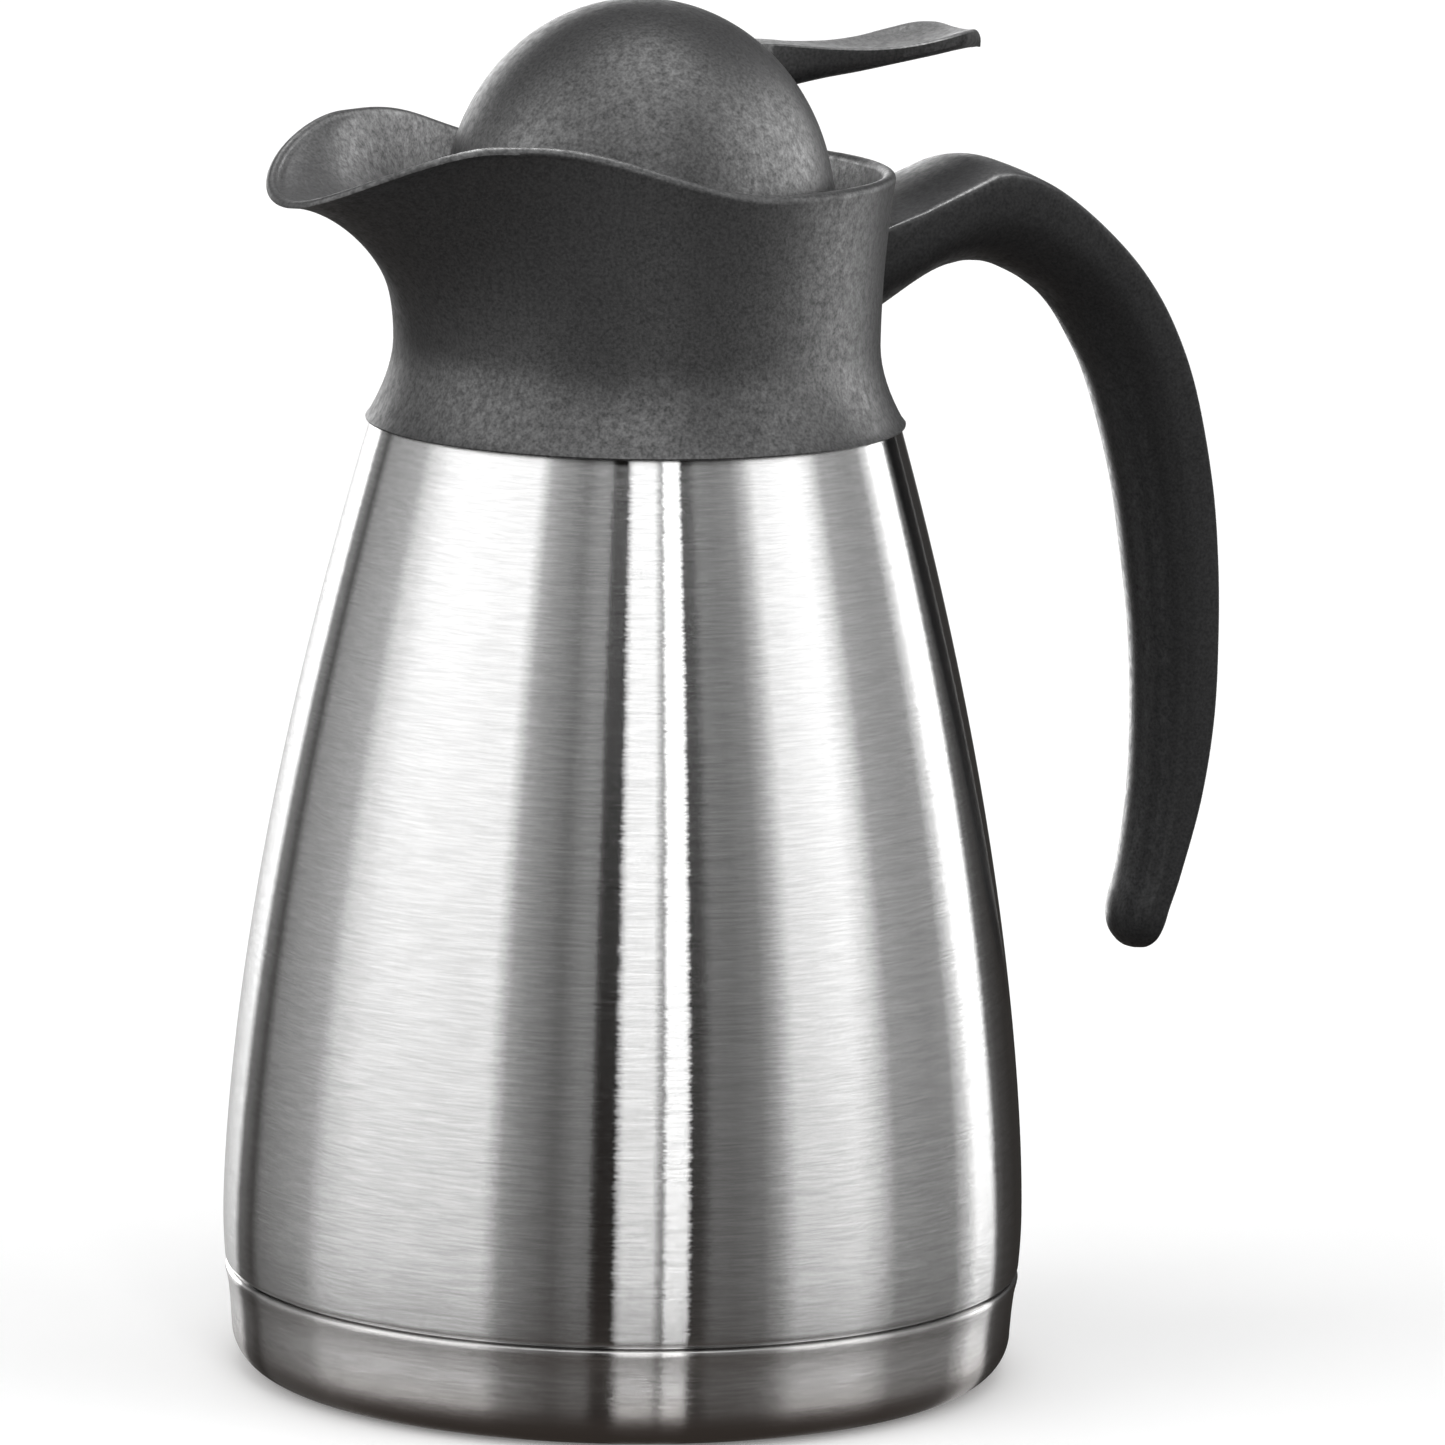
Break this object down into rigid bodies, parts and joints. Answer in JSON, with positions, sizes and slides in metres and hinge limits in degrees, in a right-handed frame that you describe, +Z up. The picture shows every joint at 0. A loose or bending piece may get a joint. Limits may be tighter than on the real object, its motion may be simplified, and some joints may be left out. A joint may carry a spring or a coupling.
{
  "type": "vacuum coffee pot",
  "caption": "Double-walled steel coffee pot with a moulded spout collar, an open-ended handle and a screw-in pouring stopper worked by a thumb lever.",
  "frame": {"origin": "on the table plane, at the axis of the round body", "axes": "+Z up along the body's axis, +X from the axis towards the handle, -X towards the spout; the pot is symmetric about the XZ plane apart from its thread and spring"},
  "size_m": [0.1795, 0.134, 0.2305],
  "materials": {
    "steel_body": "circumferentially brushed stainless steel, satin",
    "steel_base": "brushed stainless steel, satin",
    "steel_inner": "plain drawn stainless steel",
    "steel_plate": "plain stainless steel",
    "getter_pill": "sintered metal pill, dull grey",
    "braze": "dull brazed metal",
    "ring_plastic": "matte black moulded plastic",
    "seal_silicone": "translucent grey silicone, satin",
    "collar_plastic": "anthracite plastic with a fine spark-eroded grain",
    "lock_plastic": "matte black moulded plastic",
    "handle_plastic": "anthracite plastic with a fine spark-eroded grain",
    "screw_steel": "zinc-plated steel",
    "stopper_plastic": "matte black moulded plastic",
    "dome_plastic": "anthracite plastic with a fine grain and a soft sheen",
    "pin_steel": "ground steel",
    "lever_plastic": "anthracite plastic with a fine spark-eroded grain",
    "valve_steel": "turned stainless steel",
    "valve_plastic": "black moulded plastic",
    "spring_steel": "stainless spring wire"
  },
  "bodies": {
    "root": {"outer_shell": "steel_body", "shell_bottom": "steel_plate", "inner_flask": "steel_inner", "getter": "getter_pill", "evacuation_seal": "braze", "base_cup": "steel_base", "neck_ring": "ring_plastic", "neck_gasket": "seal_silicone", "spout_collar": "collar_plastic", "collar_lock_ring": "lock_plastic", "handle": "handle_plastic", "handle_screws": "screw_steel"},
    "seal": {"stopper_gasket": "seal_silicone"},
    "stopper": {"stopper_body": "stopper_plastic", "bridge_plate": "stopper_plastic", "bridge_screws": "screw_steel", "dome_cap": "dome_plastic", "lever_pin": "pin_steel"},
    "lever": {"thumb_lever": "lever_plastic"},
    "valve": {"valve_stem": "valve_steel", "valve_plate": "valve_plastic", "valve_seal": "seal_silicone", "valve_clip": "pin_steel", "valve_spring": "spring_steel"}
  },
  "joints": [
    {"name": "stopper_lift", "type": "slide", "parent": "root", "child": "seal", "axis": [0, 0, 1], "range_m": [0, 0.05]},
    {"name": "stopper_turn", "type": "hinge", "parent": "seal", "child": "stopper", "pos_m": [0, 0, 0.187], "axis": [0, 0, 1], "range_deg": [0, 600]},
    {"name": "lever_press", "type": "hinge", "parent": "stopper", "child": "lever", "pos_m": [0.0155, 0, 0.212], "axis": [0, 1, 0], "range_deg": [0, 9]},
    {"name": "valve_lift", "type": "slide", "parent": "stopper", "child": "valve", "axis": [0, 0, 1], "range_m": [0, 0.00243], "stiffness_N_per_m": 600, "springref_m": -0.005, "deforming": ["valve_spring"]}
  ],
  "couplings": [
    {"joint": "stopper_turn", "follows": "stopper_lift", "rad_per_m": 209.44},
    {"joint": "lever_press", "follows": "valve_lift", "rad_per_m": 64.516}
  ]
}
